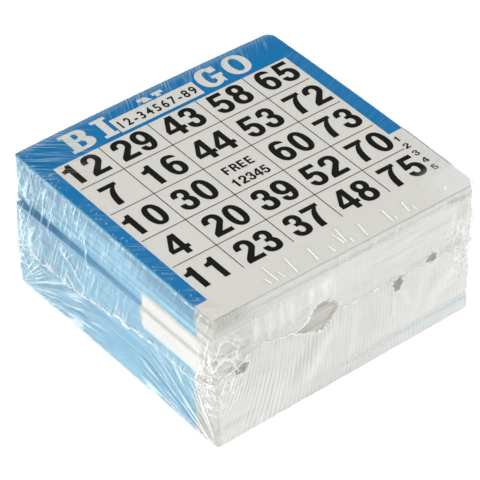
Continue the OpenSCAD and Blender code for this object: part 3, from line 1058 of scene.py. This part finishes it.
def gather(distance, z, seal_z, seed):
    """Crumpled film where the seal turns a corner: a net of sharp folds, and how milky it is."""
    near = smooth(14 - distance, 0, 9) * smooth(17 - abs(z - seal_z), 0, 12)
    if near <= 0:
        return 0.0, 0.0
    u = distance + 0.9 * lumps_at(distance, z, 2.4, seed + 2)
    v = z + 0.9 * lumps_at(distance, z, 2.4, seed + 3)
    folds = web(u / 5.0, v / 5.4, seed, 0.09) + 0.7 * web(u / 2.6, v / 3.0, seed + 1, 0.12)
    return 0.4 * near * folds, 1.3 * near * min(1.0, folds)


def place_in_step(x, y):
    """Where a point of the upper lifts' outline lies on the lifts below the step."""
    c, s = math.cos(STEP_TURN), math.sin(STEP_TURN)
    return Vector((x * c - y * s, x * s + y * c)) + STEP_SHIFT


def overhang(x, y):
    """How far the top card's edge stands out over the lifts, at a point of the square outline."""
    along_x, along_y = x / CARD_HALF_X, y / CARD_HALF_Y
    right = 0.4 + 0.9 * (1 - (0.8 * along_y + 0.19) ** 2)
    back = 0.7 * (1 - along_x * along_x)
    return Vector((right if x > 0 else -0.3, back if y > 0 else 0.0))


def wall_point(x, y, z):
    """The film's wall at a point of the square outline and a height, with its outward direction, in mm."""
    corner = Vector((math.copysign(FILM_HALF_X - CORNER_R, x), math.copysign(FILM_HALF_Y - CORNER_R, y)))
    flat = Vector((x, y))
    if abs(x) > FILM_HALF_X - CORNER_R and abs(y) > FILM_HALF_Y - CORNER_R:
        out = (flat - corner).normalized()
        flat = corner + CORNER_R * out
    elif abs(x) / FILM_HALF_X > abs(y) / FILM_HALF_Y:
        out = Vector((math.copysign(1, x), 0))
    else:
        out = Vector((0, math.copysign(1, y)))
    lower = place_in_step(*flat)
    stands_out = (lower - flat).dot(out) > 0
    bridge = BRIDGE + (FRONT_BRIDGE - BRIDGE) * max(0.0, -out.y)
    share = (STEP_Z - z) / bridge + (1 if stands_out else 0)
    lean = max(0.0, (z - STEP_Z) / (CARD_TOP - STEP_Z))
    wide = overhang(x, y)
    flat = flat + lean * Vector((wide.x * abs(out.x), wide.y * abs(out.y)))
    return flat.lerp(lower, max(0.0, min(1.0, share))), out


def scaled(film, share, keys):
    """The film with some of its values scaled."""
    return film._replace(**{key: getattr(film, key) * share for key in keys})


def wall_film(x, y, z, upper):
    """The film's wall at a point of the square outline and a height, above or below the seal."""
    from_x = FILM_HALF_X - abs(x)
    from_y = FILM_HALF_Y - abs(y)
    seal_z = seal_height(x / FILM_HALF_X, y / FILM_HALF_Y)
    fall = max(0.0, seal_z - z)
    if from_x < from_y:
        if x > 0:
            film = plain_film(y, z, 41.0)
        else:
            film = left_upper_film(y, z, seal_z) if upper else left_lower_film(y, z, fall)
    elif y > 0:
        film = plain_film(x, z, 51.0)
    else:
        film = front_upper_film(x, z) if upper else front_lower_film(x, z, fall)
    along = max(from_x, from_y)
    signed = along if from_x < from_y else -along
    crumple, white = gather(abs(signed), z, seal_z, 61.0 + 4 * (x > 0) + 8 * (y > 0) + (signed > 0))
    fade = smooth(along, 0.0, 2.0)
    film = scaled(film, fade, ("out", *LOOKS))
    milk = min(1.0, 0.04 + film.milk + white * (0.45 if x > 0 else 1.0))
    return film._replace(out=film.out + crumple, milk=milk, dim=min(1.5, film.dim))


def panel_place(x, y, panel_z, upward):
    """A place of the film's flat panel, and how the film lies there."""
    inset = Vector((x * (1 - EDGE_R / FILM_HALF_X), y * (1 - EDGE_R / FILM_HALF_Y)))
    if not upward:
        base = place_in_step(*inset)
        return (base.x, base.y, panel_z), Film()
    film = top_film(x, y)
    wide = overhang(x, y)
    base = inset + Vector((wide.x * (x / FILM_HALF_X) ** 6, wide.y * (y / FILM_HALF_Y) ** 6))
    return (base.x, base.y, panel_z + FILM_LIFT + film.out), film


def wall_place(x, y, ring_number, panel_z, upward):
    """A place of the film's wall, on a ring between the panel and the seal, and how the film lies there."""
    turn = -1 if upward else 1
    roll = EDGE_R * (1 + 0.7 * lumps_at(x, y, 1.1, 33.0))
    if ring_number <= ROLL_RINGS:
        angle = math.pi / 2 * ring_number / ROLL_RINGS
        z = panel_z + turn * (roll * (1 - math.cos(angle)) - FILM_LIFT * upward)
        inward = roll * (1 - math.sin(angle))
    else:
        start = panel_z + turn * (roll - FILM_LIFT * upward)
        seal_z = seal_height(x / FILM_HALF_X, y / FILM_HALF_Y)
        z = start + (seal_z - start) * (ring_number - ROLL_RINGS) / (WALL_RINGS - ROLL_RINGS)
        inward = 0.0
    flat, out = wall_point(x, y, z)
    film = wall_film(x, y, z, upward)
    ease = smooth(ring_number, 0, ROLL_RINGS + 1)
    flat = flat + out * (film.out * ease - inward)
    return (flat.x, flat.y, z), scaled(film, ease, LOOKS)


def film_web(name, panel_z, upward, material, replaced):
    """One half of the film: its panel and the walls from the panel to the seal."""
    cells = round(2 * FILM_HALF_X / FILM_CELL)
    bm = bmesh.new()
    bmesh.ops.create_grid(bm, x_segments=cells, y_segments=cells, size=FILM_HALF_X)
    bmesh.ops.scale(bm, verts=bm.verts, vec=(1, FILM_HALF_Y / FILM_HALF_X, 1))
    looks = {key: bm.verts.layers.float.new(key) for key in LOOKS}
    run = bm.verts.layers.float_vector.new("run")
    rim = [edge for edge in bm.edges if edge.is_boundary]
    for _ in range(WALL_RINGS):
        drawn = bmesh.ops.extrude_edge_only(bm, edges=rim)["geom"]
        rim = [part for part in drawn if isinstance(part, bmesh.types.BMEdge)]
        verts = [part for part in drawn if isinstance(part, bmesh.types.BMVert)]
        bmesh.ops.translate(bm, verts=verts, vec=(0, 0, -1))
    for vert in bm.verts:
        x, y = vert.co.x, vert.co.y
        ring_number = round(-vert.co.z)
        if ring_number == 0:
            vert.co, film = panel_place(x, y, panel_z, upward)
        else:
            vert.co, film = wall_place(x, y, ring_number, panel_z, upward)
        for key, layer in looks.items():
            vert[layer] = getattr(film, key)
        vert[run] = (film.across, film.along, film.off)
    bmesh.ops.recalc_face_normals(bm, faces=bm.faces)
    bm.faces.ensure_lookup_table()
    if (bm.faces[0].normal.z > 0) != upward:
        bmesh.ops.reverse_faces(bm, faces=bm.faces)
    open_tears(bm)
    for face in bm.faces:
        face.smooth = True
    bmesh.ops.scale(bm, verts=bm.verts, vec=(MM, MM, MM))
    return finish_piece(name, finish_mesh(name, bm), material, replaced)


def inside(outline, x, z):
    """True if a point lies inside a closed outline."""
    crossings = 0
    for (x0, z0), (x1, z1) in sides(outline):
        if (z0 > z) != (z1 > z) and x < x0 + (z - z0) * (x1 - x0) / (z1 - z0):
            crossings += 1
    return crossings % 2 == 1


def open_tears(bm):
    """Takes out the film inside each tear on the front."""
    gone = []
    for face in bm.faces:
        middle = face.calc_center_median()
        if middle.y < -CARD_HALF_Y and any(inside(tear, *torn(middle.x, middle.z)) for tear in TEARS):
            gone.append(face)
    bmesh.ops.delete(bm, geom=gone, context="FACES")


def on_film(x, y, z, stand_off):
    """A point just off the film's wall, in metres."""
    flat, out = wall_point(x, y, z)
    flat = flat + out * (wall_film(x, y, z, True).out + stand_off)
    return Vector((flat.x, flat.y, z)) * MM


def seal_runs():
    """The seal on the left, front and right, in runs that end at the tear: places and the cord's radius."""
    count = int(2 * FILM_HALF_Y / CORD_STEP)
    path = [(-FILM_HALF_X, FILM_HALF_Y - CORD_STEP * i) for i in range(count)]
    path += [(-FILM_HALF_X + CORD_STEP * i, -FILM_HALF_Y) for i in range(count)]
    path += [(FILM_HALF_X, -FILM_HALF_Y + CORD_STEP * i) for i in range(count)]
    runs = [[]]
    for x, y in path:
        z = seal_height(x / FILM_HALF_X, y / FILM_HALF_Y)
        if y == -FILM_HALF_Y and any(inside(tear, x, z) for tear in TEARS):
            if runs[-1]:
                runs.append([])
            continue
        swell = 0.45 + 1.1 * lumps_at(x, y, 2.6, 71.0)
        thick = 0.4 + 0.5 * band(y, -8, 26) if x == -FILM_HALF_X else 0.26
        runs[-1].append((on_film(x, y, z, 0.05), 0.07 + thick * max(0.0, swell)))
    return runs


def torn_rim(tear):
    """The ragged rim of a tear or a small opening: places and the cord's radius."""
    rim = []
    for (x0, z0), (x1, z1) in sides(tear):
        parts = max(2, int(math.hypot(x1 - x0, z1 - z0) / CORD_STEP))
        for i in range(parts):
            x, z = x0 + (x1 - x0) * i / parts, z0 + (z1 - z0) * i / parts
            moved = torn(x, z)
            x, z = 2 * x - moved[0], 2 * z - moved[1]
            swell = 0.5 + 0.5 * lumps_at(x, z, 1.3, 74.0)
            rim.append((on_film(x, -FILM_HALF_Y, z, 0.0), 0.03 + 0.13 * swell))
    return rim + rim[:1]


def seal_bead(material):
    """The welded seal: a thin uneven cord, and thinner rims round the tear and the small openings."""
    shape = bpy.data.curves.new("seal", "CURVE")
    shape.dimensions = "3D"
    shape.bevel_depth = 1.0
    shape.bevel_resolution = 2
    shape.use_fill_caps = True
    for run in seal_runs() + [torn_rim(tear) for tear in TEARS + POCKETS]:
        if len(run) < 3:
            continue
        spline = shape.splines.new("POLY")
        spline.points.add(len(run) - 1)
        for point, (place, radius) in zip(spline.points, run):
            point.co = (*place, 1)
            point.radius = radius * MM
    mesh = curve_mesh("seal", shape)
    for face in mesh.polygons:
        face.use_smooth = True
    return finish_piece("seal_cord", mesh, material, ["seal_bead"])


# Stage


def build_floor():
    """A pale floor that takes the pack's shadow and looks white to the camera and in the film."""
    bm = bmesh.new()
    bmesh.ops.create_grid(bm, x_segments=1, y_segments=1, size=3.0)
    floor = place_object("floor", finish_mesh("floor", bm))
    material, add = new_material("white_studio_floor")
    path = add("LightPath").outputs
    shown = path["Is Camera Ray"]
    for ray in ("Is Glossy Ray", "Is Transmission Ray"):
        shown = add("Math", [shown, path[ray]], "MAXIMUM")
    dark, glow = [add("Emission", [srgb("ffffff"), strength]) for strength in (0.0, 0.42)]
    seen = add("MixShader", [shown, dark, glow])
    surface = add("AddShader", [add("BsdfDiffuse", [srgb("f2f2f2")]), seen])
    add("OutputMaterial", [surface])
    set_material(floor.data, material)


def build_world():
    """White surroundings. Rays that the film mirrors see them near the horizon, with a dim ceiling above."""
    world = bpy.data.worlds.new("white_surroundings")
    bpy.context.scene.world = world
    world.use_nodes = True
    world.node_tree.nodes.clear()
    add = partial(add_node, world.node_tree)
    path = add("LightPath").outputs
    direction = add("TexCoord").outputs["Generated"]
    rise = add("SeparateXYZ", [direction]).outputs[Z]
    ceiling = add("MapRange", [rise, 0.04, 0.14])
    soft, dim, white = [add("Background", [srgb("ffffff"), strength]) for strength in (0.5, 0.075, 1.0)]
    mirrored = add("MixShader", [ceiling, white, dim])
    lit = add("MixShader", [path["Is Glossy Ray"], soft, mirrored])
    seen = add("Math", [path["Is Camera Ray"], path["Is Transmission Ray"]], "MAXIMUM")
    add("OutputWorld", [add("MixShader", [seen, lit, white])])


def build_lamps():
    """Three soft lamps. The film is flat on top and would mirror a lamp as one white sheet that hides the
    print, so it doesn't mirror them."""
    lamps = [
        ("key_lamp", (-0.95, -0.2, 0.32), 0.55, 7.4),
        ("front_lamp", (0.62, -0.72, 0.52), 0.6, 7.0),
        ("back_lamp", (-0.1, 0.7, 0.9), 0.6, 2.8),
    ]
    for name, place, size, power in lamps:
        light = bpy.data.lights.new(name, "AREA")
        light.size = size
        light.energy = power
        lamp = place_object(name, light)
        lamp.visible_glossy = False
        lamp.location = place
        lamp.rotation_euler = (Vector((0, 0, 0.03)) - Vector(place)).to_track_quat("-Z", "Y").to_euler()


def build_camera():
    """The camera, fitted to the card's edges and grid."""
    azimuth = math.radians(-37.36)
    elevation = math.radians(40.14)
    roll = math.radians(-1.0)
    distance = 949.0
    target = Vector((-3.9, -3.2, 25.0))
    focal_px = 3000.0
    picture_px = 480
    ahead = math.cos(elevation)
    back = Vector((math.sin(azimuth) * ahead, -math.cos(azimuth) * ahead, math.sin(elevation)))
    level = Vector((math.cos(azimuth), math.sin(azimuth), 0))
    up = back.cross(level)
    right = math.cos(roll) * level + math.sin(roll) * up
    up = back.cross(right)
    data = bpy.data.cameras.new("camera")
    data.sensor_width = 36.0
    data.lens = focal_px / picture_px * data.sensor_width
    data.clip_start = 0.01
    camera = place_object("camera", data)
    turn = Matrix((right, up, back)).transposed().to_4x4()
    camera.matrix_world = Matrix.Translation((target + distance * back) * MM) @ turn
    bpy.context.scene.camera = camera
    bpy.context.scene.view_settings.view_transform = "Standard"


def dress_lifts():
    """Gives the cards in the lifts their paper, with the blue of the borders on the cut sides."""
    usual = cut_paper("cut_paper", LEFT_BORDER_END, RIGHT_BORDER_END)
    short_edge = cut_paper("cut_paper_short_edge", RIGHT_BORDER_END, LEFT_BORDER_END)
    tinted_paper = cut_paper("cut_paper_tinted_front", LEFT_BORDER_END, RIGHT_BORDER_END, 0.55)
    papers = {number: short_edge for number in SHORT_EDGE_LIFTS}
    papers[TINTED_LIFT] = tinted_paper
    top_lift(usual)
    for number in range(1, LIFTS + 1):
        set_material(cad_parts[f"lift_{number:02d}"].data, papers.get(number, usual))
    set_material(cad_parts["bottom_card"].data, usual)


build_floor()
build_world()
build_lamps()
build_camera()
dress_lifts()
print_card()
film = shrink_film("polyolefin_shrink_film")
film_web("upper_film_skin", CARD_TOP, True, film, ["upper_film"])
film_web("lower_film_skin", 0.01, False, film, ["lower_film"])
seal_bead(welded_film("welded_film"))
